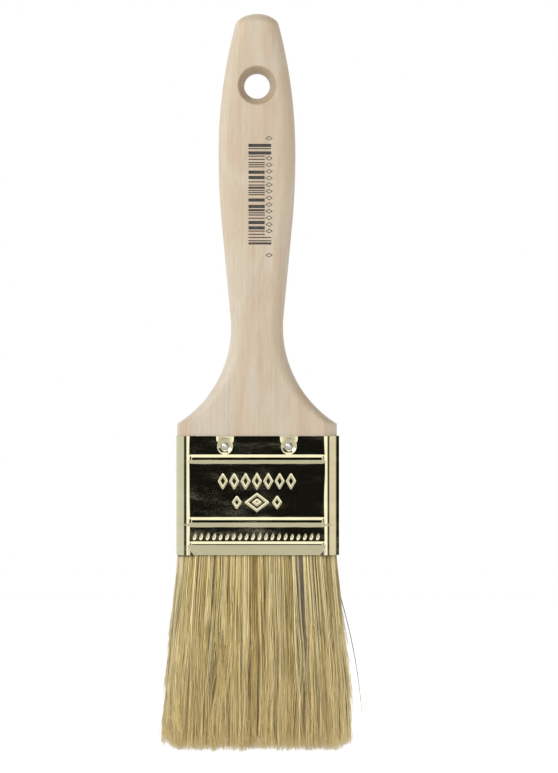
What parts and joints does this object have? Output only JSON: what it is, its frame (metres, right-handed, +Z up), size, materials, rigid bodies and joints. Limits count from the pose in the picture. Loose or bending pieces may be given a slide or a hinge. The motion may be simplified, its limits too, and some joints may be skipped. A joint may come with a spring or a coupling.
{
  "type": "paint brush",
  "caption": "Flat two-inch paint brush with a waisted wooden handle, a hang hole, a beaded tin-plated ferrule and natural bristle that flexes fore and aft.",
  "frame": {"origin": "centre of the hang hole, in the middle of the handle's thickness", "axes": "+Z up the handle towards its top end, +X across the width towards the ferrule's lapped seam, +Y through the thickness towards the back"},
  "size_m": [0.0574, 0.013, 0.2275],
  "materials": {
    "handle_wood": "sanded, unfinished",
    "ferrule_tinplate": "polished tin plate with a warm tint",
    "nail_steel": "bright",
    "setting_resin": "cured epoxy",
    "plug_wood": "rough sawn",
    "bristle": "natural hog bristle"
  },
  "bodies": {
    "brush_body": {"handle": "handle_wood", "ferrule": "ferrule_tinplate", "nail_front_left": "nail_steel", "nail_front_right": "nail_steel", "nail_back_left": "nail_steel", "nail_back_right": "nail_steel", "epoxy_set": "setting_resin", "spacer_plug": "plug_wood", "bristle_roots_front": "bristle", "bristle_roots_back": "bristle"},
    "bristles": {"tuft_front": "bristle", "tuft_back": "bristle"}
  },
  "joints": [
    {"name": "bristle_flex", "type": "hinge", "parent": "brush_body", "child": "bristles", "pos_m": [0, 0, -0.1474], "axis": [1, 0, 0], "range_deg": [-30, 30], "stiffness_Nm_per_rad": 0.25}
  ]
}
